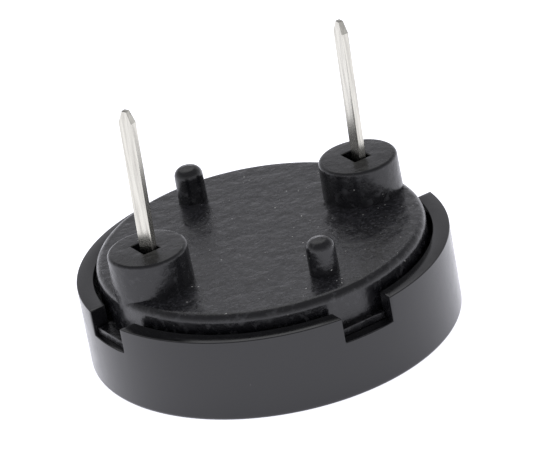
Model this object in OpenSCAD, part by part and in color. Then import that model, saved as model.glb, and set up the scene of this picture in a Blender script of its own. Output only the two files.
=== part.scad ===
// Pin-type piezo buzzer, 24 mm class. It rests on its sounding face with the terminals up.
// Origin: centre of the sounding face. +Z along the terminals, the two terminals on X, the two posts on Y.
// All sizes in millimetres.

/* [Case] */
// Outside diameter of the case
case_d = 24; // [20:0.5:30]
// Height of the case, sounding face to rim
case_h = 5.55; // [4.8:0.05:8]
// Width of the rim
rim_w = 1.1; // [0.9:0.05:1.6]
// Thickness of the front wall
front_t = 1; // [0.6:0.1:1.3]
// Diameter of the sound port
port_d = 4; // [2:0.5:8]
// Height of the ledge that carries the sounding element, above the front wall
ledge_h = 1.1; // [0.6:0.1:1.3]
// Width of that ledge
ledge_w = 1.4; // [1.2:0.1:1.8]
// Rounding of the front edge
front_edge_r = 0.3; // [0.1:0.05:0.6]
// Rounding of the rim's two edges
rim_edge_r = 0.08; // [0.02:0.02:0.2]

/* [Notches in the rim] */
// Width of a notch
notch_w = 3.55; // [2.5:0.05:4.5]
// Depth of a notch below the rim
notch_depth = 1.68; // [1:0.02:1.9]

/* [Base] */
// Height of the base's plateau above the rim
plateau_rise = 1.1; // [0.8:0.05:1.6]
// Rounding of the plateau's edge
plateau_edge_r = 0.55; // [0.3:0.05:0.75]
// Open groove between the base's skirt and the rim
groove_w = 0.3; // [0.2:0.05:0.6]
// Clearance round the skirt in its seat below the groove
skirt_fit = 0.06; // [0.02:0.02:0.14]
// Thickness of the base's plate
plate_t = 1.3; // [1:0.1:1.6]
// Thickness of the skirt
skirt_t = 1.2; // [0.9:0.1:1.4]

/* [Bosses and slots] */
// Distance from the skirt's outside in to a boss's centre, and so to its terminal
boss_inset = 2.6; // [2.2:0.1:3.6]
// Diameter of a boss at its top
boss_d = 5.1; // [4:0.1:5.2]
// Height of a boss above the plateau
boss_h = 2.45; // [1.5:0.05:4]
// Draft of a boss, in degrees on each side
boss_draft = 1; // [0:0.5:2]
// Rounding of a boss's top edge
boss_edge_r = 0.25; // [0.05:0.05:0.4]
// Clearance in a slot on each broad face of its terminal
slot_face_gap = 0.35; // [0.3:0.05:0.6]
// Clearance in a slot at the front edge of its terminal
slot_front_gap = 0.15; // [0.15:0.05:0.5]
// Clearance in a slot at the back edge of its terminal
slot_back_gap = 0.45; // [0.15:0.05:0.7]

/* [Posts] */
// Distance from the skirt's outside in to the front post's centre
front_post_inset = 3.05; // [2:0.05:4.5]
// Distance from the skirt's outside in to the back post's centre
back_post_inset = 2.55; // [2:0.05:4.5]
// Diameter of a post at its top
post_d = 1.85; // [1.4:0.05:2.2]
// Height of a post above the plateau
post_h = 2.4; // [1.5:0.05:4]
// Draft of a post, in degrees on each side
post_draft = 0.5; // [0:0.5:2]
// Rounding of a post's top edge
post_edge_r = 0.45; // [0.1:0.05:0.6]

/* [Locating tabs] */
// Height of a tab
tab_h = 0.5; // [0.3:0.05:0.9]
// How far the two tabs beside the terminals rest on their notch floors
terminal_tab_rest = 0.7; // [0.1:0.05:0.8]
// How far the two tabs beside the posts rest on their notch floors
post_tab_rest = 0.2; // [0.1:0.05:0.8]
// Clearance on each side of a tab in its notch
tab_side_gap = 0.08; // [0.05:0.01:0.2]

/* [Terminals] */
// Broad width of a terminal
pin_w = 1.05; // [0.8:0.05:1.1]
// Thickness of a terminal
pin_t = 0.5; // [0.4:0.05:0.6]
// Length of a terminal beyond its boss
pin_len = 9.5; // [3:0.1:12]
// Length of the tapered point
point_len = 0.8; // [0.3:0.1:1.5]
// Share of the broad width left at the end of the point
point_width_share = 0.38; // [0.2:0.02:0.9]
// Share of the thickness left at the end of the point
point_thickness_share = 0.7; // [0.3:0.05:0.9]
// Lean of a terminal in its slot, in degrees
pin_lean = 1.5; // [0:0.5:2]
// Direction of the lean about Z, in degrees from +X
pin_lean_turn = -28; // [-90:1:90]
// Twist of the left terminal about its own length, in degrees
left_pin_twist = 22; // [0:1:22]
// Twist of the right terminal about its own length, in degrees
right_pin_twist = 0; // [0:1:22]
// Overlap of the terminal's retaining head past each end of its slot, under the base
head_overlap = 0.6; // [0.3:0.1:0.8]
// Height of that head
head_h = 0.5; // [0.3:0.1:0.7]
// Length of the solder tail under the head
tail_len = 0.8; // [0.5:0.1:0.9]

/* [Sounding element] */
// Thickness of the brass plate
brass_t = 0.2; // [0.1:0.05:0.25]
// Bare brass left round the ceramic disc
brass_margin = 3.51; // [3:0.01:5]
// Thickness of the ceramic disc
ceramic_t = 0.2; // [0.1:0.05:0.25]
// Thickness of the bead that bonds the brass plate to its ledge
bond_t = 0.1; // [0.05:0.05:0.15]
// Width of that bead
bond_w = 0.9; // [0.6:0.1:1]
// Clearance round the brass plate
brass_gap = 0.15; // [0.1:0.05:0.25]
// Clearance between the brass plate and the skirt above it
skirt_gap = 0.1; // [0.05:0.05:0.2]

/* [Leads and solder] */
// Diameter of a lead wire
lead_d = 0.3; // [0.2:0.05:0.4]
// Solder past each edge of a terminal's tail
tail_solder_cover = 0.125; // [0.1:0.025:0.25]
// Diameter of the solder on the sounding element
pad_solder_d = 1.3; // [1:0.1:1.5]
// Height of the solder on the sounding element
pad_solder_h = 0.5; // [0.4:0.05:0.6]

/* [Hidden] */
$fn = 96;
// Overlap that lets two shapes of one solid merge
merge = 0.05;
// Segments in a rounded corner
corner_steps = 8;
// Directions of the four notches and tabs, in degrees, those beside the terminals first
terminal_tab_turns = [0, 180];
post_tab_turns = [90, 270];
// Sides and rings of a lead's tube
lead_sides = 10;
lead_rings = 14;

case_r = case_d / 2;
rim_r = case_r - rim_w;
skirt_r = rim_r - groove_w;
seat_r = skirt_r + skirt_fit;
notch_z = case_h - notch_depth;
ledge_z = front_t + ledge_h;
ledge_r = seat_r - ledge_w;

brass_z = ledge_z + bond_t;
brass_r = seat_r - brass_gap;
ceramic_r = brass_r - brass_margin;
ceramic_z = brass_z + brass_t;
ceramic_top_z = ceramic_z + ceramic_t;

plateau_z = case_h + plateau_rise;
plate_z = plateau_z - plate_t;
skirt_z = ceramic_z + skirt_gap;
skirt_in_r = skirt_r - skirt_t;
// The seat step starts below the notch floors, so that the tabs rest on the full rim width
seat_z = notch_z - rim_w / 2;

boss_x = skirt_r - boss_inset;
boss_z = plateau_z + boss_h;
post_ys = [front_post_inset - skirt_r, skirt_r - back_post_inset];
slot_l = pin_t + 2 * slot_face_gap;
slot_w = pin_w + slot_front_gap + slot_back_gap;
slot_y = (slot_back_gap - slot_front_gap) / 2;
pin_top_z = boss_z + pin_len;
head_w = slot_w + 2 * head_overlap;
head_z = plate_z - head_h;
tail_z = head_z - tail_len;
tail_solder_d = pin_w + 2 * tail_solder_cover;

// Where the leads meet the sounding element: one on the ceramic, one on the bare brass beside it
ceramic_pad = [pad_solder_d - ceramic_r, -1.6];
brass_pad = [(ceramic_r + skirt_in_r) / 2 - 0.1, 2.2];

// Points of an arc about [cx, cy] from angle a0 to a1
function arc(cx, cy, r, a0, a1) =
    [for (i = [0:corner_steps])
        let (a = a0 + (a1 - a0) * i / corner_steps) [cx + r * cos(a), cy + r * sin(a)]];

// Each lead is one curve between its first and last points, drawn towards the two between them:
// the left one from its tail to the ceramic, the right one from its tail to the brass
left_route = [[-boss_x + pin_t / 2 + lead_d / 2, 0, head_z - lead_d],
              [-boss_x + 1.6, 0, tail_z - lead_d],
              [ceramic_pad[0] - 0.6, ceramic_pad[1] + 0.4, ceramic_top_z + pad_solder_h + 1],
              [ceramic_pad[0], ceramic_pad[1], ceramic_top_z + lead_d / 2]];
right_route = [[boss_x - pin_t / 2 - lead_d / 2, 0, head_z - lead_d],
               [boss_x - 1.6, 0.4, tail_z - lead_d],
               [brass_pad[0] - 0.6, brass_pad[1], ceramic_z + pad_solder_h + 1.2],
               [brass_pad[0], brass_pad[1], ceramic_z + lead_d / 2]];

// Point and direction at share t of the curve through a route of four points
function on_curve(r, t) =
    pow(1 - t, 3) * r[0] + 3 * pow(1 - t, 2) * t * r[1] + 3 * (1 - t) * t * t * r[2] + t * t * t * r[3];
function heading(r, t) =
    let (v = pow(1 - t, 2) * (r[1] - r[0]) + 2 * (1 - t) * t * (r[2] - r[1]) + t * t * (r[3] - r[2]))
    v / norm(v);

// The ring of points round a curve at share t, square to it
function ring(r, t, d) =
    let (z = heading(r, t), side = cross(z, [0.2, 1, 0.1]), x = side / norm(side), y = cross(z, x))
    [for (i = [0:lead_sides - 1])
        let (a = 360 * i / lead_sides) on_curve(r, t) + d / 2 * (x * cos(a) + y * sin(a))];

// A wire along a route: rings joined side by side, closed by a flat end at each end
module wire(r) {
    n = lead_sides;
    last = lead_rings - 1;
    sides = [for (k = [0:last - 1], i = [0:n - 1]) let (j = (i + 1) % n)
             each [[k * n + i, (k + 1) * n + j, k * n + j], [k * n + i, (k + 1) * n + i, (k + 1) * n + j]]];
    ends = [[for (i = [0:n - 1]) i], [for (i = [n - 1:-1:0]) last * n + i]];
    polyhedron(points = [for (k = [0:last]) each ring(r, k / last, lead_d)], faces = concat(sides, ends));
}

// The space above a height, used to cut the solder domes flat underneath
module above(z) {
    translate([-case_r, -case_r, z]) cube([case_d, case_d, case_d]);
}

// The four notches, cut down from the rim through its wall
module notches() {
    for (turn = concat(terminal_tab_turns, post_tab_turns))
        rotate(turn)
            translate([skirt_r, -notch_w / 2, notch_z]) cube([case_d, notch_w, case_h]);
}

// A locating tab, which reaches out of the skirt and rests on a notch floor
module tab(rest) {
    width = notch_w - 2 * tab_side_gap;
    root_r = skirt_r - skirt_t / 2;
    translate([root_r, -width / 2, notch_z]) cube([rim_r + rest - root_r, width, tab_h]);
}

// A round stub that stands on the plateau, drafted, with a rounded top edge; it runs down into the plate
module stub(d, h, draft, edge_r) {
    top_r = d / 2;
    foot_r = top_r + h * tan(draft);
    top_z = plateau_z + h;
    rotate_extrude()
        polygon(concat([[0, plate_z + merge], [foot_r, plate_z + merge], [foot_r, plateau_z]],
                       arc(top_r - edge_r, top_z - edge_r, edge_r, 0, 90),
                       [[0, top_z]]));
}

// The body of one terminal: blade with a point, retaining head and solder tail
module terminal(twist) {
    blade_h = pin_top_z - plate_z;
    translate([0, 0, plate_z])
        rotate([0, 0, pin_lean_turn]) rotate([0, pin_lean, 0]) rotate([0, 0, -pin_lean_turn])
            rotate(twist) {
                translate([-pin_t / 2, -pin_w / 2, -merge]) cube([pin_t, pin_w, blade_h - point_len + merge]);
                translate([0, 0, blade_h - point_len])
                    linear_extrude(height = point_len, scale = [point_thickness_share, point_width_share],
                                   slices = 1, segments = 4)
                        square([pin_t, pin_w], center = true);
            }
    translate([-pin_t / 2, slot_y - head_w / 2, head_z]) cube([pin_t, head_w, head_h]);
    translate([-pin_t / 2, -pin_w / 2, tail_z]) cube([pin_t, pin_w, tail_len + merge]);
}

// Solder on a terminal's tail, before the tail and lead are cut out of it
module tail_solder_ball(x) {
    translate([x, 0, tail_z + tail_solder_d / 4]) sphere(d = tail_solder_d, $fn = 48);
}

// Solder dome on the sounding element
module pad_solder_dome(pad, z) {
    dome_r = (pow(pad_solder_d / 2, 2) + pow(pad_solder_h, 2)) / (2 * pad_solder_h);
    intersection() {
        translate([pad[0], pad[1], z + pad_solder_h - dome_r]) sphere(r = dome_r, $fn = 48);
        above(z);
    }
}

module case() {
    color("#1d1d20")
        difference() {
            rotate_extrude()
                polygon(concat([[port_d / 2, 0]],
                               arc(case_r - front_edge_r, front_edge_r, front_edge_r, -90, 0),
                               arc(case_r - rim_edge_r, case_h - rim_edge_r, rim_edge_r, 0, 90),
                               arc(rim_r + rim_edge_r, case_h - rim_edge_r, rim_edge_r, 90, 180),
                               [[rim_r, seat_z], [seat_r, seat_z], [seat_r, ledge_z], [ledge_r, ledge_z],
                                [ledge_r, front_t], [port_d / 2, front_t]]));
            notches();
        }
}

module base() {
    color("#2c2c2f")
        difference() {
            union() {
                rotate_extrude()
                    polygon(concat([[0, plate_z], [skirt_in_r, plate_z], [skirt_in_r, skirt_z],
                                    [skirt_r, skirt_z]],
                                   arc(skirt_r - plateau_edge_r, plateau_z - plateau_edge_r,
                                       plateau_edge_r, 0, 90),
                                   [[0, plateau_z]]));
                intersection() {
                    for (side = [-1, 1])
                        translate([side * boss_x, 0, 0]) stub(boss_d, boss_h, boss_draft, boss_edge_r);
                    cylinder(h = pin_top_z, r = skirt_r);
                }
                for (y = post_ys) translate([0, y, 0]) stub(post_d, post_h, post_draft, post_edge_r);
                for (turn = terminal_tab_turns) rotate(turn) tab(terminal_tab_rest);
                for (turn = post_tab_turns) rotate(turn) tab(post_tab_rest);
            }
            for (side = [-1, 1])
                translate([side * boss_x - slot_l / 2, slot_y - slot_w / 2, plate_z - merge])
                    cube([slot_l, slot_w, boss_z - plate_z + 2 * merge]);
        }
}

module left_terminal() {
    color("#d9d9d6") translate([-boss_x, 0, 0]) terminal(left_pin_twist);
}

module right_terminal() {
    color("#d9d9d6") translate([boss_x, 0, 0]) terminal(right_pin_twist);
}

module brass_plate() {
    color("#c9a24a") translate([0, 0, brass_z]) cylinder(h = brass_t, r = brass_r);
}

module ceramic_disc() {
    color("#d8d2c4") translate([0, 0, ceramic_z]) cylinder(h = ceramic_t, r = ceramic_r);
}

module bond_bead() {
    color("#e6e6e6")
        translate([0, 0, ledge_z])
            difference() {
                cylinder(h = bond_t, r = ledge_r + bond_w);
                translate([0, 0, -merge]) cylinder(h = bond_t + 2 * merge, r = ledge_r);
            }
}

module left_lead() {
    color("#b4553a") wire(left_route);
}

module right_lead() {
    color("#2f2f33") wire(right_route);
}

module left_tail_solder() {
    color("#b9bcc0")
        difference() {
            tail_solder_ball(-boss_x);
            translate([-boss_x, 0, 0]) terminal(left_pin_twist);
            wire(left_route);
        }
}

module right_tail_solder() {
    color("#b9bcc0")
        difference() {
            tail_solder_ball(boss_x);
            translate([boss_x, 0, 0]) terminal(right_pin_twist);
            wire(right_route);
        }
}

module ceramic_solder() {
    color("#b9bcc0")
        difference() {
            pad_solder_dome(ceramic_pad, ceramic_top_z);
            wire(left_route);
        }
}

module brass_solder() {
    color("#b9bcc0")
        difference() {
            pad_solder_dome(brass_pad, ceramic_z);
            wire(right_route);
        }
}

case();
base();
left_terminal();
right_terminal();
brass_plate();
ceramic_disc();
bond_bead();
left_lead();
right_lead();
left_tail_solder();
right_tail_solder();
ceramic_solder();
brass_solder();
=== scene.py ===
"""Looks of a pin-type piezo buzzer that lies on its sounding face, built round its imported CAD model.

Sizes inside the classes are in millimetres and their meshes are turned to metres when they are made.
The case, the base and the two terminals are modelled here in full; the sounding element and its wiring
keep their CAD solids and are dressed.
"""

import logging
import math
from collections.abc import Sequence
from dataclasses import dataclass, field
from enum import Enum

import bmesh
import bpy
from mathutils import Matrix, Vector


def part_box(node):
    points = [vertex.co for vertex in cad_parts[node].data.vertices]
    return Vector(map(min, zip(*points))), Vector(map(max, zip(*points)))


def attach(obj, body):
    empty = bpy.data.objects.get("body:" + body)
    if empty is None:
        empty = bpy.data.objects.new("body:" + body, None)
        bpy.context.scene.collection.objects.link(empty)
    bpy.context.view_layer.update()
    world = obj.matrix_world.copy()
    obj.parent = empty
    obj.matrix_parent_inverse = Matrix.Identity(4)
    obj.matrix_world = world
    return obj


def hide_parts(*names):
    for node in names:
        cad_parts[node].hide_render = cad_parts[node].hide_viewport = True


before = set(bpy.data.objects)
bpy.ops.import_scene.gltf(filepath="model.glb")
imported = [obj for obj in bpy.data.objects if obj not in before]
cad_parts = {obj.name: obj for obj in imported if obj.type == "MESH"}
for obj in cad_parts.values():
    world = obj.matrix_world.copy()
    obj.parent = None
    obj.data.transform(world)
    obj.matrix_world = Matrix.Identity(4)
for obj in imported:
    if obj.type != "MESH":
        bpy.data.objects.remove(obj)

MM = 0.001
BODY = "root"
LOG = logging.getLogger("buzzer")

# A point closer to the axis than this, in millimetres, counts as on it
ON_AXIS = 1e-6

Point = tuple[float, float]
Corner = tuple[float, float, float]
Colour = tuple[float, float, float, float]


class Join(Enum):
    """How one closed mesh is worked into another."""

    ADD = "UNION"
    CUT = "DIFFERENCE"


class MouldFace(Enum):
    """Which cavity surface a face of the base was moulded against; the value is its material slot."""

    SATIN = 0
    SANDED = 1


# ---------------------------------------------------------------------------------------------
# Colours and nodes
# ---------------------------------------------------------------------------------------------


def linear(hex_colour: str) -> Colour:
    """Turns an sRGB hex colour into linear RGBA.

    Args:
        hex_colour: The colour as "#rrggbb".

    Returns:
        Its linear red, green and blue, and an alpha of 1.
    """
    shares = [int(hex_colour[i : i + 2], 16) / 255 for i in (1, 3, 5)]
    red, green, blue = [
        s / 12.92 if s <= 0.04045 else ((s + 0.055) / 1.055) ** 2.4 for s in shares
    ]
    return red, green, blue, 1.0


def add_node(
    tree: bpy.types.NodeTree, kind: str, inputs: dict[str | int, object], **settings: object
) -> bpy.types.Node:
    """Adds a shader node with its settings, values and links.

    Args:
        tree: The node tree that gets the node.
        kind: The node's type name.
        inputs: What each input socket, by name or number, holds: a value, or an output to link from.
        settings: The node's own properties.

    Returns:
        The new node.
    """
    node = tree.nodes.new(kind)
    for name, value in settings.items():
        setattr(node, name, value)
    for key, value in inputs.items():
        if isinstance(value, bpy.types.NodeSocket):
            tree.links.new(value, node.inputs[key])
        else:
            node.inputs[key].default_value = value
    return node


# ---------------------------------------------------------------------------------------------
# Finishes
# ---------------------------------------------------------------------------------------------


@dataclass(frozen=True)
class Pattern:
    """One cloudy pattern in a finish, and what its blotches change.

    The window is the part of the noise that counts: a narrow one near 1 leaves only scattered flecks.
    """

    size_mm: float
    stretch: float = 1.0
    detail: float = 2.0
    window: Point = (0.3, 0.7)
    colour: str = ""
    roughness: float = 0.0
    depth_mm: float = 0.0


@dataclass(frozen=True)
class Finish:
    """A real material as one process left it: its colour, its gloss and the patterns that vary them."""

    name: str
    colour: str
    roughness: float
    patterns: tuple[Pattern, ...]
    metallic: float = 0.0
    ior: float = 1.5

    def make(self) -> bpy.types.Material:
        """Makes the finish's material.

        Returns:
            The material, which several pieces can share.
        """
        material = bpy.data.materials.new(self.name)
        material.use_nodes = True
        tree = material.node_tree
        tree.nodes.clear()
        place = add_node(tree, "ShaderNodeTexCoord", {}).outputs["Object"]
        surface: dict[str | int, object] = {
            "Base Color": linear(self.colour),
            "Roughness": self.roughness,
            "Metallic": self.metallic,
            "IOR": self.ior,
        }
        for pattern in self.patterns:
            squeeze = {"Vector": place, "Scale": (1.0, 1.0, 1 / pattern.stretch)}
            along = add_node(tree, "ShaderNodeMapping", squeeze).outputs["Vector"]
            blotches = {"Vector": along, "Scale": 1 / (pattern.size_mm * MM), "Detail": pattern.detail}
            cloud = add_node(tree, "ShaderNodeTexNoise", blotches).outputs["Fac"]
            window = {"Value": cloud, "From Min": pattern.window[0], "From Max": pattern.window[1]}
            share = add_node(tree, "ShaderNodeMapRange", window, clamp=True).outputs["Result"]
            if pattern.colour:
                mix = {"Fac": share, "Color1": surface["Base Color"], "Color2": linear(pattern.colour)}
                surface["Base Color"] = add_node(tree, "ShaderNodeMixRGB", mix).outputs["Color"]
            if pattern.roughness:
                more = {0: share, 1: pattern.roughness, 2: surface["Roughness"]}
                duller = add_node(tree, "ShaderNodeMath", more, operation="MULTIPLY_ADD")
                surface["Roughness"] = duller.outputs["Value"]
            if pattern.depth_mm:
                relief = {"Height": cloud, "Distance": pattern.depth_mm * MM, "Strength": 1.0}
                if "Normal" in surface:
                    relief["Normal"] = surface["Normal"]
                surface["Normal"] = add_node(tree, "ShaderNodeBump", relief).outputs["Normal"]
        shader = add_node(tree, "ShaderNodeBsdfPrincipled", surface)
        add_node(tree, "ShaderNodeOutputMaterial", {"Surface": shader.outputs["BSDF"]})
        return material


# ABS moulded against hand-polished steel: a clear black gloss that a slow ripple makes waver a little,
# in places a bit duller, with a few specks of dust
POLISHED_ABS = Finish(
    "polished_abs",
    "#161618",
    0.15,
    (
        Pattern(4.0, detail=1.0, depth_mm=0.006),
        Pattern(0.8, detail=3.0, roughness=0.08, depth_mm=0.001),
        Pattern(0.35, detail=1.0, window=(0.80, 0.84), colour="#b9b9b4"),
    ),
    ior=1.53,
)
# ABS moulded against plain machined steel: black with a low sheen that goes cloudy over soft lumps
SATIN_ABS = Finish(
    "satin_abs",
    "#101013",
    0.22,
    (
        Pattern(1.4, detail=4.0, roughness=0.08, depth_mm=0.09),
        Pattern(0.12, depth_mm=0.004),
        Pattern(0.5, detail=4.0, window=(0.55, 0.75), colour="#38383a", roughness=0.16),
        Pattern(0.3, detail=1.0, window=(0.79, 0.83), colour="#a9a9a4"),
    ),
    ior=1.53,
)
# ABS moulded against spark-eroded steel: a fine grain whose tops are painted lighter as painted highlight,
# strewn with near-white flecks painted on as glints, over a mottled surface that still mirrors what stands
# on it; the real grain is near 0.05 mm and is drawn coarser so that it shows
SANDED_ABS = Finish(
    "sanded_abs",
    "#141417",
    0.2,
    (
        Pattern(2.6, depth_mm=0.05),
        Pattern(0.9, detail=5.0, colour="#252528", roughness=0.1, depth_mm=0.08),
        # Painted highlight: the grain's raised tops are painted a lighter grey
        Pattern(0.2, window=(0.45, 0.75), colour="#444448", depth_mm=0.012),
        # Painted glints: scattered near-white flecks on the grain
        Pattern(0.24, detail=1.0, window=(0.765, 0.80), colour="#c9c9c4"),
    ),
    ior=1.53,
)
# Stamped brass with bright electroplated tin: silvery white, a little warm, with faint lines along the blade
TINNED_BRASS = Finish(
    "tinned_brass",
    "#cfcdc3",
    0.22,
    (
        Pattern(0.09, stretch=40.0, depth_mm=0.0004),
        Pattern(0.16, stretch=20.0, detail=3.0, window=(0.35, 0.85), colour="#a3a199", roughness=0.1),
    ),
    metallic=1.0,
)
# Rolled brass sheet: warm yellow metal, barely clouded by handling
ROLLED_BRASS = Finish(
    "rolled_brass",
    "#d8b468",
    0.24,
    (Pattern(1.5, detail=3.0, colour="#b98d3f", roughness=0.14, depth_mm=0.002),),
    metallic=1.0,
)
# Fired piezo ceramic under a thin silver electrode: dull pale grey, a little chalky
SILVERED_CERAMIC = Finish(
    "silvered_ceramic",
    "#cfcbc0",
    0.45,
    (Pattern(0.4, detail=3.0, colour="#b3ada0", roughness=0.17, depth_mm=0.003),),
)
# Cured silicone: milky and soft, a little wet
CURED_SILICONE = Finish(
    "cured_silicone",
    "#dcdcd8",
    0.3,
    (Pattern(0.8, detail=3.0, colour="#c9c9c4", roughness=0.15, depth_mm=0.004),),
)
# Extruded PVC insulation: saturated and smooth
RED_PVC = Finish(
    "red_pvc",
    "#a5321f",
    0.35,
    (Pattern(0.5, colour="#8c2718", roughness=0.1, depth_mm=0.001),),
)
BLACK_PVC = Finish(
    "black_pvc",
    "#232326",
    0.35,
    (Pattern(0.5, colour="#1a1a1c", roughness=0.1, depth_mm=0.001),),
)
# Tin solder as it sets: a grey metal, bright where it flowed and frosted where it froze
TIN_SOLDER = Finish(
    "tin_solder",
    "#c4c6c8",
    0.25,
    (Pattern(0.25, detail=3.0, colour="#9c9ea0", roughness=0.25, depth_mm=0.006),),
    metallic=1.0,
)


# ---------------------------------------------------------------------------------------------
# Mesh work
# ---------------------------------------------------------------------------------------------


def arc(centre: Point, radius: float, start_deg: float, end_deg: float, steps: int) -> list[Point]:
    """Points along an arc.

    Args:
        centre: The arc's centre.
        radius: Its radius.
        start_deg: Angle of the first point.
        end_deg: Angle of the last point.
        steps: Number of chords.

    Returns:
        The points, ends included.
    """
    angles = [math.radians(start_deg + (end_deg - start_deg) * i / steps) for i in range(steps + 1)]
    return [(centre[0] + radius * math.cos(a), centre[1] + radius * math.sin(a)) for a in angles]


def turned(profile: Sequence[Point], columns: int) -> bmesh.types.BMesh:
    """Turns a profile about Z into a closed mesh.

    Args:
        profile: Radius and height of each corner, from one point on the axis to another.
        columns: Number of steps round the axis.

    Returns:
        The mesh, in millimetres.
    """
    mesh = bmesh.new()
    rings: list[list[bmesh.types.BMVert]] = []
    for radius, height in profile:
        count = columns if radius > ON_AXIS else 1
        turn = [2 * math.pi * i / count for i in range(count)]
        rings.append([mesh.verts.new((radius * math.cos(a), radius * math.sin(a), height)) for a in turn])
    for lower, upper in zip(rings, rings[1:]):
        for i in range(columns):
            j = (i + 1) % columns
            below = [lower[i % len(lower)], lower[j % len(lower)]]
            above = [upper[j % len(upper)], upper[i % len(upper)]]
            mesh.faces.new(list(dict.fromkeys(below + above)))
    bmesh.ops.recalc_face_normals(mesh, faces=mesh.faces)
    return mesh


def stacked(sections: Sequence[Sequence[Corner]]) -> bmesh.types.BMesh:
    """Joins outlines of equal length into a closed mesh.

    Args:
        sections: The outlines, each a loop of points.

    Returns:
        The mesh, in the points' own units.
    """
    mesh = bmesh.new()
    loops = [[mesh.verts.new(p) for p in section] for section in sections]
    for lower, upper in zip(loops, loops[1:]):
        for i in range(len(lower)):
            j = (i + 1) % len(lower)
            mesh.faces.new((lower[i], lower[j], upper[j], upper[i]))
    mesh.faces.new(loops[0])
    mesh.faces.new(loops[-1])
    bmesh.ops.recalc_face_normals(mesh, faces=mesh.faces)
    return mesh


def outline(length: float, width: float, height: float, corner: float = 0.0) -> list[Corner]:
    """A rectangle about the Z axis, with cut corners if they are asked for.

    Args:
        length: Size along X.
        width: Size along Y.
        height: Where it lies along Z.
        corner: How much each corner loses on both sides.

    Returns:
        Its points in order.
    """
    x, y = length / 2, width / 2
    if corner <= 0:
        return [(x, -y, height), (x, y, height), (-x, y, height), (-x, -y, height)]
    near_x, near_y = x - corner, y - corner
    return [
        (x, -near_y, height),
        (x, near_y, height),
        (near_x, y, height),
        (-near_x, y, height),
        (-x, near_y, height),
        (-x, -near_y, height),
        (-near_x, -y, height),
        (near_x, -y, height),
    ]


def sharp_edges(mesh: bmesh.types.BMesh, above: float, least_deg: float = 30.0) -> list[bmesh.types.BMEdge]:
    """The edges above a height where the surface turns sharply.

    Args:
        mesh: The mesh.
        above: Lowest height of both of an edge's ends.
        least_deg: Smallest turn that counts.

    Returns:
        Those edges.
    """
    return [
        e
        for e in mesh.edges
        if len(e.link_faces) == 2
        and min(v.co.z for v in e.verts) >= above
        and e.calc_face_angle(0.0) > math.radians(least_deg)
    ]


def soften(mesh: bmesh.types.BMesh, edges: list[bmesh.types.BMEdge], radius: float, steps: int) -> None:
    """Rounds edges.

    Args:
        mesh: The mesh.
        edges: The edges to round.
        radius: How far the rounding reaches.
        steps: Number of faces across it.
    """
    bmesh.ops.bevel(
        mesh,
        geom=edges,
        offset=radius,
        offset_type="OFFSET",
        segments=steps,
        profile=0.5,
        affect="EDGES",
        clamp_overlap=True,
    )


def to_object(mesh: bmesh.types.BMesh, name: str, place: Matrix = Matrix.Identity(4)) -> bpy.types.Object:
    """Turns a mesh in millimetres into an object in metres.

    Args:
        mesh: The mesh, which is used up.
        name: The object's name.
        place: Where it goes, in millimetres.

    Returns:
        The object, linked to the scene, at the origin.
    """
    bmesh.ops.transform(mesh, matrix=Matrix.Scale(MM, 4) @ place, verts=mesh.verts)
    data = bpy.data.meshes.new(name)
    mesh.to_mesh(data)
    mesh.free()
    made = bpy.data.objects.new(name, data)
    bpy.context.scene.collection.objects.link(made)
    return made


def work_in(target: bpy.types.Object, tool: bpy.types.Object, how: Join) -> None:
    """Adds a closed mesh to another or cuts it out of it, and removes the tool.

    Args:
        target: The object that is worked on.
        tool: The object that is added or cut out.
        how: Which of the two.
    """
    step = target.modifiers.new("work", "BOOLEAN")
    step.object = tool
    step.operation = how.value
    step.solver = "EXACT"
    seen = target.evaluated_get(bpy.context.evaluated_depsgraph_get())
    worked = bpy.data.meshes.new_from_object(seen)
    target.modifiers.clear()
    old = target.data
    target.data = worked
    bpy.data.meshes.remove(old)
    bpy.data.objects.remove(tool)


def clean(piece: bpy.types.Object, reach: float = 0.003) -> None:
    """Merges points that lie within a hair of each other, and drops the slivers between them.

    Args:
        piece: The piece.
        reach: How near the points are, in millimetres.
    """
    mesh = bmesh.new()
    mesh.from_mesh(piece.data)
    bmesh.ops.remove_doubles(mesh, verts=mesh.verts, dist=reach * MM)
    bmesh.ops.dissolve_degenerate(mesh, edges=mesh.edges, dist=reach * MM)
    mesh.to_mesh(piece.data)
    mesh.free()


def smooth(piece: bpy.types.Object, angle_deg: float = 32.0) -> None:
    """Shades a piece smoothly, but for edges sharper than an angle.

    Args:
        piece: The piece.
        angle_deg: The angle.
    """
    piece.data.polygons.foreach_set("use_smooth", [True] * len(piece.data.polygons))
    piece.data.set_sharp_from_angle(angle=math.radians(angle_deg))


def seat(piece: bpy.types.Object, node: str) -> bpy.types.Object:
    """Makes a piece stand for a CAD node and keeps its flat faces flat beside their rounded edges.

    Args:
        piece: The piece.
        node: The CAD node that it replaces.

    Returns:
        The piece.
    """
    flat = piece.modifiers.new("flat", "WEIGHTED_NORMAL")
    flat.keep_sharp = True
    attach(piece, BODY)
    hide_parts(node)
    LOG.info("%s stands for %s with %d faces", piece.name, node, len(piece.data.polygons))
    return piece


# ---------------------------------------------------------------------------------------------
# The pieces
# ---------------------------------------------------------------------------------------------


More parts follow.
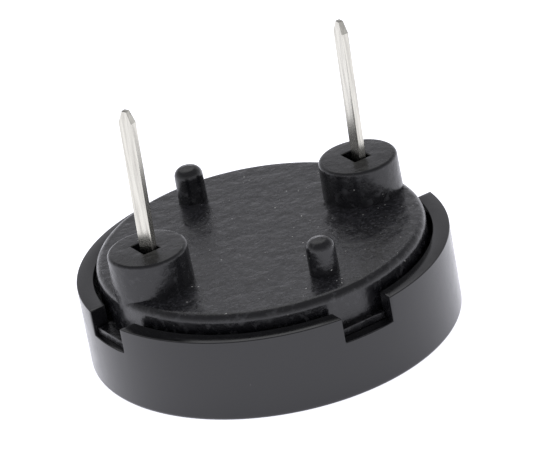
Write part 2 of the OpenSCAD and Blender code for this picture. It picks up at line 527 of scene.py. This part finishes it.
@dataclass
class CaseShell:
    """The moulded cup: front wall with its sound port, ledge, seat and notched rim."""

    outer_r: float
    height: float
    rim_w: float = 1.1
    front_t: float = 1.0
    port_r: float = 2.0
    ledge_z: float = 2.1
    ledge_w: float = 1.4
    seat_r: float = 10.66
    seat_drop: float = 0.55
    notch_w: float = 3.55
    notch_depth: float = 1.68
    front_edge_r: float = 0.3
    rim_edge_r: float = 0.07
    port_edge_r: float = 0.12
    port_ring_w: float = 2.5
    front_ring_w: float = 3.0
    wall_ring_share: float = 0.35
    front_edge_steps: int = 6
    edge_steps: int = 3
    arc_steps: int = 44
    notch_steps: int = 8
    notches: int = 4
    near: float = 0.01

    @property
    def rim_inner_r(self) -> float:
        """Radius inside the rim."""
        return self.outer_r - self.rim_w

    @property
    def notch_z(self) -> float:
        """Height of the notch floors."""
        return self.height - self.notch_depth

    def angle_at(self, radius: float, column: int) -> float:
        """Direction of a column of points at a radius, so that columns run along the notches' flat sides.

        Args:
            radius: Distance from the axis.
            column: The column's number.

        Returns:
            The direction, in radians.
        """
        quarter, step = divmod(column, self.notch_steps + self.arc_steps)
        near = min(max(radius, self.rim_inner_r), self.outer_r)
        half = math.asin(self.notch_w / 2 / near)
        whole = 2 * math.pi / self.notches
        if step < self.notch_steps:
            return quarter * whole + half * (2 * step / self.notch_steps - 1)
        return quarter * whole + half + (whole - 2 * half) * (step - self.notch_steps) / self.arc_steps

    def rings(self) -> list[tuple[float, float, bool]]:
        """Radius and height of each ring of points, and whether it goes all the way round.

        Returns:
            The rings in order, a closed loop from the port's front edge.
        """
        seat_z = self.notch_z - self.seat_drop
        ledge_r = self.seat_r - self.ledge_w
        centre = (self.outer_r - self.front_edge_r, self.front_edge_r)
        front = [
            (self.port_r, 0.0),
            (self.port_r + self.port_ring_w, 0.0),
            (self.outer_r - self.front_ring_w, 0.0),
        ]
        wall = arc(centre, self.front_edge_r, -90, 0, self.front_edge_steps)
        wall += [(self.outer_r, self.height * self.wall_ring_share)]
        rim = [(self.outer_r, self.height, False), (self.rim_inner_r, self.height, False)]
        inside = [
            (self.rim_inner_r, self.notch_z),
            (self.rim_inner_r, seat_z),
            (self.seat_r, seat_z),
            (self.seat_r, self.ledge_z),
            (ledge_r, self.ledge_z),
            (ledge_r, self.front_t),
            (self.port_r, self.front_t),
        ]
        low = [(r, z, True) for r, z in front + wall + [(self.outer_r, self.notch_z)]]
        return low + rim + [(r, z, True) for r, z in inside]

    def mesh(self) -> bmesh.types.BMesh:
        """Builds the cup's mesh, ring by ring and column by column.

        Returns:
            The closed mesh, in millimetres.
        """
        mesh = bmesh.new()
        rings = self.rings()
        period = self.notch_steps + self.arc_steps
        columns = self.notches * period
        grid: list[list[bmesh.types.BMVert | None]] = []
        for radius, height, whole in rings:
            row: list[bmesh.types.BMVert | None] = []
            for column in range(columns):
                inside_notch = 0 < column % period < self.notch_steps
                a = self.angle_at(radius, column)
                corner = (radius * math.cos(a), radius * math.sin(a), height)
                row.append(None if inside_notch and not whole else mesh.verts.new(corner))
            grid.append(row)
        for column in range(columns):
            after = (column + 1) % columns
            in_notch = column % period < self.notch_steps
            used = [row for row, ring in zip(grid, rings) if ring[2] or not in_notch]
            for lower, upper in zip(used, used[1:] + used[:1]):
                mesh.faces.new((lower[column], lower[after], upper[after], upper[column]))
            if column % period in (0, self.notch_steps):
                cut = [i for i, ring in enumerate(rings) if not ring[2]]
                side = [cut[0] - 1, *cut, cut[-1] + 1]
                mesh.faces.new([grid[i][column] for i in side])
        bmesh.ops.recalc_face_normals(mesh, faces=mesh.faces)
        return mesh

    def build(self) -> bpy.types.Object:
        """Builds and seats the cup.

        Returns:
            The finished piece.
        """
        mesh = self.mesh()
        soften(mesh, sharp_edges(mesh, self.notch_z - self.near), self.rim_edge_r, self.edge_steps)
        port = [
            e
            for e in sharp_edges(mesh, -self.near)
            if all(math.hypot(v.co.x, v.co.y) < self.port_r + self.near for v in e.verts)
        ]
        soften(mesh, port, self.port_edge_r, self.edge_steps)
        piece = to_object(mesh, "case_shell")
        smooth(piece)
        return seat(piece, "case")

    def dress(self, piece: bpy.types.Object) -> None:
        """Gives the cup its finish.

        Args:
            piece: The cup.
        """
        piece.data.materials.append(POLISHED_ABS.make())


@dataclass
class BaseInsert:
    """The moulded insert: skirt, raised plateau, two slotted bosses, two posts and four tabs."""

    skirt_r: float = 10.6
    skirt_t: float = 1.2
    skirt_z: float = 2.5
    plate_z: float = 5.35
    plateau_z: float = 6.65
    plateau_edge_r: float = 0.55
    boss_x: float = 8.0
    boss_d: float = 5.1
    boss_h: float = 2.45
    boss_draft_deg: float = 1.0
    boss_edge_r: float = 0.25
    slot_l: float = 1.2
    slot_w: float = 1.65
    slot_y: float = 0.15
    slot_edge: float = 0.05
    post_ys: tuple[float, float] = (-7.55, 8.05)
    post_r: float = 0.925
    post_draft_deg: float = 0.5
    post_h: float = 2.4
    post_edge_r: float = 0.6
    post_crown: float = 0.1
    crown_middle: float = 0.6
    tab_h: float = 0.5
    tab_edge_r: float = 0.05
    tab_w: float = 3.39
    tab_foot_z: float = 3.87
    rim_inner_r: float = 10.9
    tab_rests: tuple[float, float, float, float] = (0.7, 0.2, 0.7, 0.2)
    root: float = 0.3
    cutter_reach: float = 0.5
    columns: int = 224
    boss_columns: int = 96
    post_columns: int = 64
    plateau_edge_steps: int = 12
    boss_edge_steps: int = 5
    post_edge_steps: int = 8
    tab_edge_steps: int = 3
    level_reach: float = 0.1
    level_turn_deg: float = 25.0

    def body(self) -> bpy.types.Object:
        """The skirt and plateau as one turned shell.

        Returns:
            The shell, in its place.
        """
        inner = self.skirt_r - self.skirt_t
        edge = (self.skirt_r - self.plateau_edge_r, self.plateau_z - self.plateau_edge_r)
        profile = [
            (0.0, self.plate_z),
            (inner, self.plate_z),
            (inner, self.skirt_z),
            (self.skirt_r, self.skirt_z),
        ]
        profile += arc(edge, self.plateau_edge_r, 0, 90, self.plateau_edge_steps)
        profile += [(0.0, self.plateau_z)]
        return to_object(turned(profile, self.columns), "base_insert")

    def boss(self, side: int) -> bpy.types.Object:
        """A drafted boss with a rounded top edge.

        Args:
            side: -1 for the left one, 1 for the right one.

        Returns:
            The boss, which runs down into the plate.
        """
        top_r, top_z = self.boss_d / 2, self.plateau_z + self.boss_h
        foot_r = top_r + self.boss_h * math.tan(math.radians(self.boss_draft_deg))
        edge = (top_r - self.boss_edge_r, top_z - self.boss_edge_r)
        start_z = self.plate_z + self.root
        profile = [(0.0, start_z), (foot_r, start_z), (foot_r, self.plateau_z)]
        profile += arc(edge, self.boss_edge_r, 0, 90, self.boss_edge_steps) + [(0.0, top_z)]
        place = Matrix.Translation((side * self.boss_x, 0, 0))
        return to_object(turned(profile, self.boss_columns), "boss", place)

    def slot_cutter(self, side: int) -> bpy.types.Object:
        """The space of a terminal slot, flared at its mouth so that the mouth's edge is broken.

        Args:
            side: -1 for the left slot, 1 for the right one.

        Returns:
            The cutter.
        """
        top_z = self.plateau_z + self.boss_h
        flare = 2 * self.slot_edge
        levels = [
            (self.plate_z - self.cutter_reach, 0.0),
            (top_z - self.slot_edge, 0.0),
            (top_z, flare),
            (top_z + self.cutter_reach, flare + 2 * self.cutter_reach),
        ]
        sections = [outline(self.slot_l + wide, self.slot_w + wide, z) for z, wide in levels]
        place = Matrix.Translation((side * self.boss_x, self.slot_y, 0))
        return to_object(stacked(sections), "slot", place)

    def post(self, y: float) -> bpy.types.Object:
        """A slightly drafted stand-off post with a rounded, crowned top.

        Args:
            y: Where it stands.

        Returns:
            The post, which runs down into the plateau.
        """
        crown_z = self.plateau_z + self.post_h
        top_z = crown_z - self.post_crown
        edge = (self.post_r - self.post_edge_r, top_z - self.post_edge_r)
        foot_r = self.post_r + self.post_h * math.tan(math.radians(self.post_draft_deg))
        start_z = self.plateau_z - self.root
        profile = [(0.0, start_z), (foot_r, start_z), (foot_r, self.plateau_z)]
        profile += arc(edge, self.post_edge_r, 0, 90, self.post_edge_steps)
        profile += [(edge[0] * self.crown_middle, crown_z - self.post_crown * self.crown_middle**2)]
        profile += [(0.0, crown_z)]
        return to_object(turned(profile, self.post_columns), "post", Matrix.Translation((0, y, 0)))

    def tab(self, quarter: int, rest: float) -> bpy.types.Object:
        """A locating tab that stands in a notch.

        Args:
            quarter: Number of quarter turns from +X.
            rest: How far it rests on the notch's floor.

        Returns:
            The tab, which runs into the skirt.
        """
        root, tip = self.skirt_r - self.skirt_t / 2, self.rim_inner_r + rest
        mesh = stacked([outline(tip - root, self.tab_w, z) for z in (0.0, self.tab_h)])
        outer = [e for e in mesh.edges if min(v.co.x for v in e.verts) > 0]
        soften(mesh, outer, self.tab_edge_r, self.tab_edge_steps)
        place = Matrix.Translation(((root + tip) / 2, 0, self.tab_foot_z))
        return to_object(mesh, "tab", Matrix.Rotation(quarter * math.pi / 2, 4, "Z") @ place)

    def build(self) -> bpy.types.Object:
        """Builds and seats the insert.

        Returns:
            The finished piece.
        """
        piece = self.body()
        for side in (-1, 1):
            work_in(piece, self.boss(side), Join.ADD)
        for y in self.post_ys:
            work_in(piece, self.post(y), Join.ADD)
        for quarter, rest in enumerate(self.tab_rests):
            work_in(piece, self.tab(quarter, rest), Join.ADD)
        for side in (-1, 1):
            work_in(piece, self.slot_cutter(side), Join.CUT)
        clean(piece)
        smooth(piece)
        return seat(piece, "base")

    def dress(self, piece: bpy.types.Object) -> None:
        """Gives the insert its two finishes: the plateau's top is sanded and the rest satin.

        Args:
            piece: The insert.
        """
        for finish in (SATIN_ABS, SANDED_ABS):
            piece.data.materials.append(finish.make())
        for face in piece.data.polygons:
            level = abs(face.center.z / MM - self.plateau_z) < self.level_reach
            on_top = level and face.normal.z > math.cos(math.radians(self.level_turn_deg))
            face.material_index = (MouldFace.SANDED if on_top else MouldFace.SATIN).value


@dataclass
class Terminal:
    """A flat terminal: a leaning blade with a tapered point, a retaining head and a solder tail."""

    name: str
    node: str
    x: float
    twist_deg: float
    thickness: float = 0.5
    width: float = 1.05
    corner: float = 0.05
    plate_z: float = 5.35
    top_z: float = 18.6
    point_len: float = 0.8
    point_width_share: float = 0.38
    point_thickness_share: float = 0.7
    tip_len: float = 0.05
    tip_width_share: float = 0.8
    tip_thickness_share: float = 0.7
    lean_deg: float = 1.5
    lean_turn_deg: float = -28.0
    head_w: float = 2.85
    head_y: float = 0.15
    head_h: float = 0.5
    tail_len: float = 0.8
    overlap: float = 0.05
    smooth_deg: float = 15.0

    def blade(self) -> bpy.types.Object:
        """The blade with broken long edges, leaning and twisted in its slot.

        Returns:
            The blade, which runs down into the head.
        """
        length = self.top_z - self.plate_z
        shoulder = length - self.point_len
        levels = [(-self.overlap, 1.0, 1.0), (shoulder, 1.0, 1.0)]
        levels += [(length - self.tip_len, self.point_thickness_share, self.point_width_share)]
        tip_thickness = self.point_thickness_share * self.tip_thickness_share
        levels += [(length, tip_thickness, self.point_width_share * self.tip_width_share)]
        sections = [
            outline(self.thickness * thick, self.width * wide, z, self.corner * wide)
            for z, thick, wide in levels
        ]
        turn = math.radians(self.lean_turn_deg)
        place = (
            Matrix.Translation((self.x, 0, self.plate_z))
            @ Matrix.Rotation(turn, 4, "Z")
            @ Matrix.Rotation(math.radians(self.lean_deg), 4, "Y")
            @ Matrix.Rotation(-turn, 4, "Z")
            @ Matrix.Rotation(math.radians(self.twist_deg), 4, "Z")
        )
        return to_object(stacked(sections), self.name, place)

    def block(self, width: float, y: float, low: float, high: float) -> bpy.types.Object:
        """A flat block of the terminal's thickness.

        Args:
            width: Its width.
            y: Where its middle is across the terminal.
            low: Height of its underside.
            high: Height of its top.

        Returns:
            The block.
        """
        sections = [outline(self.thickness, width, z) for z in (low, high)]
        return to_object(stacked(sections), "block", Matrix.Translation((self.x, y, 0)))

    def build(self) -> bpy.types.Object:
        """Builds and seats the terminal.

        Returns:
            The finished piece.
        """
        piece = self.blade()
        head_z = self.plate_z - self.head_h
        work_in(piece, self.block(self.head_w, self.head_y, head_z, self.plate_z), Join.ADD)
        work_in(piece, self.block(self.width, 0.0, head_z - self.tail_len, head_z + self.overlap), Join.ADD)
        smooth(piece, self.smooth_deg)
        return seat(piece, self.node)

    def dress(self, piece: bpy.types.Object, finish: bpy.types.Material) -> None:
        """Gives the terminal its finish.

        Args:
            piece: The terminal.
            finish: The tinned material, which both terminals share.
        """
        piece.data.materials.append(finish)


@dataclass
class SoundingElement:
    """The sealed pieces: diaphragm, ceramic, bead, leads and solder, which keep their CAD solids."""

    finishes: dict[str, Finish] = field(
        default_factory=lambda: {
            "brass_plate": ROLLED_BRASS,
            "ceramic_disc": SILVERED_CERAMIC,
            "bond_bead": CURED_SILICONE,
            "left_lead": RED_PVC,
            "right_lead": BLACK_PVC,
            "left_tail_solder": TIN_SOLDER,
            "right_tail_solder": TIN_SOLDER,
            "ceramic_solder": TIN_SOLDER,
            "brass_solder": TIN_SOLDER,
        }
    )

    def dress(self) -> None:
        """Gives each node its finish."""
        made: dict[str, bpy.types.Material] = {}
        for node, finish in self.finishes.items():
            if finish.name not in made:
                made[finish.name] = finish.make()
            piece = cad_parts[node]
            piece.data.materials.clear()
            piece.data.materials.append(made[finish.name])
            smooth(piece)
            LOG.info("%s is dressed as %s", node, finish.name)


# ---------------------------------------------------------------------------------------------
# The studio
# ---------------------------------------------------------------------------------------------


def direction(azimuth_deg: float, elevation_deg: float) -> Vector:
    """The way from the object to something round it.

    Args:
        azimuth_deg: Its direction round the object; 0 is towards -Y.
        elevation_deg: Its height above the horizon.

    Returns:
        The way, one unit long.
    """
    turn, rise = math.radians(azimuth_deg), math.radians(elevation_deg)
    return Vector((math.sin(turn) * math.cos(rise), -math.cos(turn) * math.cos(rise), math.sin(rise)))


@dataclass(frozen=True)
class Softbox:
    """A square soft light that faces the object: where it stands, its side in millimetres and its watts."""

    name: str
    azimuth_deg: float
    elevation_deg: float
    distance: float
    size: float
    power: float

    def place(self) -> None:
        """Adds the light."""
        towards = direction(self.azimuth_deg, self.elevation_deg)
        data = bpy.data.lights.new(self.name, "AREA")
        data.size = self.size * MM
        data.energy = self.power
        light = bpy.data.objects.new(self.name, data)
        light.location = towards * self.distance * MM
        light.rotation_mode = "QUATERNION"
        light.rotation_quaternion = towards.to_track_quat("Z", "Y")
        bpy.context.scene.collection.objects.link(light)


@dataclass
class Studio:
    """A luminous floor, a backdrop bright near the floor and dim overhead, a back light and the camera."""

    azimuth_deg: float = -28.3
    elevation_deg: float = 26.0
    roll_deg: float = 10.5
    distance: float = 288.5
    lens: float = 302.0
    sensor_w: float = 36.0
    nearest: float = 0.01
    farthest: float = 20.0
    aim_z: float = 3.0
    aim_right: float = -0.064
    aim_up: float = -3.88
    floor_size: float = 4000.0
    floor_drop: float = 0.01
    floor_colour: str = "#f4f4f4"
    floor_roughness: float = 0.9
    glow_colour: str = "#f6f6ff"
    floor_glow: float = 1.05
    air_colour: str = "#f9f9ff"
    wall_light: float = 1.1
    ceiling_light: float = 0.35
    ceiling_at: float = 0.6
    back_light: Softbox = Softbox("back_light", 160.0, 58.0, 400.0, 300.0, 0.2)

    def floor(self) -> None:
        """Adds the floor: a sheet of opal acrylic on a light table."""
        mesh = bmesh.new()
        bmesh.ops.create_grid(mesh, x_segments=1, y_segments=1, size=self.floor_size / 2)
        plane = to_object(mesh, "floor", Matrix.Translation((0, 0, -self.floor_drop)))
        material = bpy.data.materials.new("opal_acrylic")
        material.use_nodes = True
        tree = material.node_tree
        tree.nodes.clear()
        surface = {
            "Base Color": linear(self.floor_colour),
            "Roughness": self.floor_roughness,
            "Emission Color": linear(self.glow_colour),
            "Emission Strength": self.floor_glow,
        }
        shader = add_node(tree, "ShaderNodeBsdfPrincipled", surface)
        add_node(tree, "ShaderNodeOutputMaterial", {"Surface": shader.outputs["BSDF"]})
        plane.data.materials.append(material)

    def backdrop(self) -> None:
        """Lights the scene from all round, most strongly from near the floor."""
        world = bpy.data.worlds.new("studio")
        world.use_nodes = True
        tree = world.node_tree
        tree.nodes.clear()
        way = add_node(tree, "ShaderNodeTexCoord", {}).outputs["Generated"]
        rise = add_node(tree, "ShaderNodeSeparateXYZ", {"Vector": way}).outputs["Z"]
        fall = {
            "Value": rise,
            "From Max": self.ceiling_at,
            "To Min": self.wall_light,
            "To Max": self.ceiling_light,
        }
        strength = add_node(tree, "ShaderNodeMapRange", fall, clamp=True).outputs["Result"]
        glow = {"Color": linear(self.air_colour), "Strength": strength}
        light = add_node(tree, "ShaderNodeBackground", glow)
        add_node(tree, "ShaderNodeOutputWorld", {"Surface": light.outputs["Background"]})
        bpy.context.scene.world = world

    def camera(self) -> None:
        """Adds the camera, which looks down on the object from the front left with a slight roll."""
        back = direction(self.azimuth_deg, self.elevation_deg)
        level = direction(self.azimuth_deg + 90, 0)
        upright = back.cross(level)
        roll = math.radians(-self.roll_deg)
        right = math.cos(roll) * level + math.sin(roll) * upright
        up = math.cos(roll) * upright - math.sin(roll) * level
        aim = Vector((0, 0, self.aim_z)) - self.aim_right * right - self.aim_up * up
        place = aim + self.distance * back
        data = bpy.data.cameras.new("camera")
        data.lens = self.lens
        data.sensor_width = self.sensor_w
        data.clip_start = self.nearest
        data.clip_end = self.farthest
        made = bpy.data.objects.new("camera", data)
        made.matrix_world = Matrix.Translation(place * MM) @ Matrix((right, up, back)).transposed().to_4x4()
        bpy.context.scene.collection.objects.link(made)
        bpy.context.scene.camera = made

    def build(self) -> None:
        """Builds the studio and sets how its light is shown."""
        self.floor()
        self.backdrop()
        self.back_light.place()
        self.camera()
        bpy.context.scene.view_settings.view_transform = "Standard"


def main() -> None:
    """Builds every piece, dresses it and sets up the studio."""
    logging.basicConfig(level=logging.INFO, format="%(name)s: %(message)s")
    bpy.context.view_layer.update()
    case_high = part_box("case")[1]
    shell = CaseShell(outer_r=case_high.x / MM, height=case_high.z / MM)
    shell.dress(shell.build())
    insert = BaseInsert()
    insert.dress(insert.build())
    tin = TINNED_BRASS.make()
    for terminal in (
        Terminal("left_pin", "left_terminal", x=-insert.boss_x, twist_deg=22.0),
        Terminal("right_pin", "right_terminal", x=insert.boss_x, twist_deg=0.0),
    ):
        terminal.dress(terminal.build(), tin)
    SoundingElement().dress()
    Studio().build()


if __name__ == "__main__":
    main()
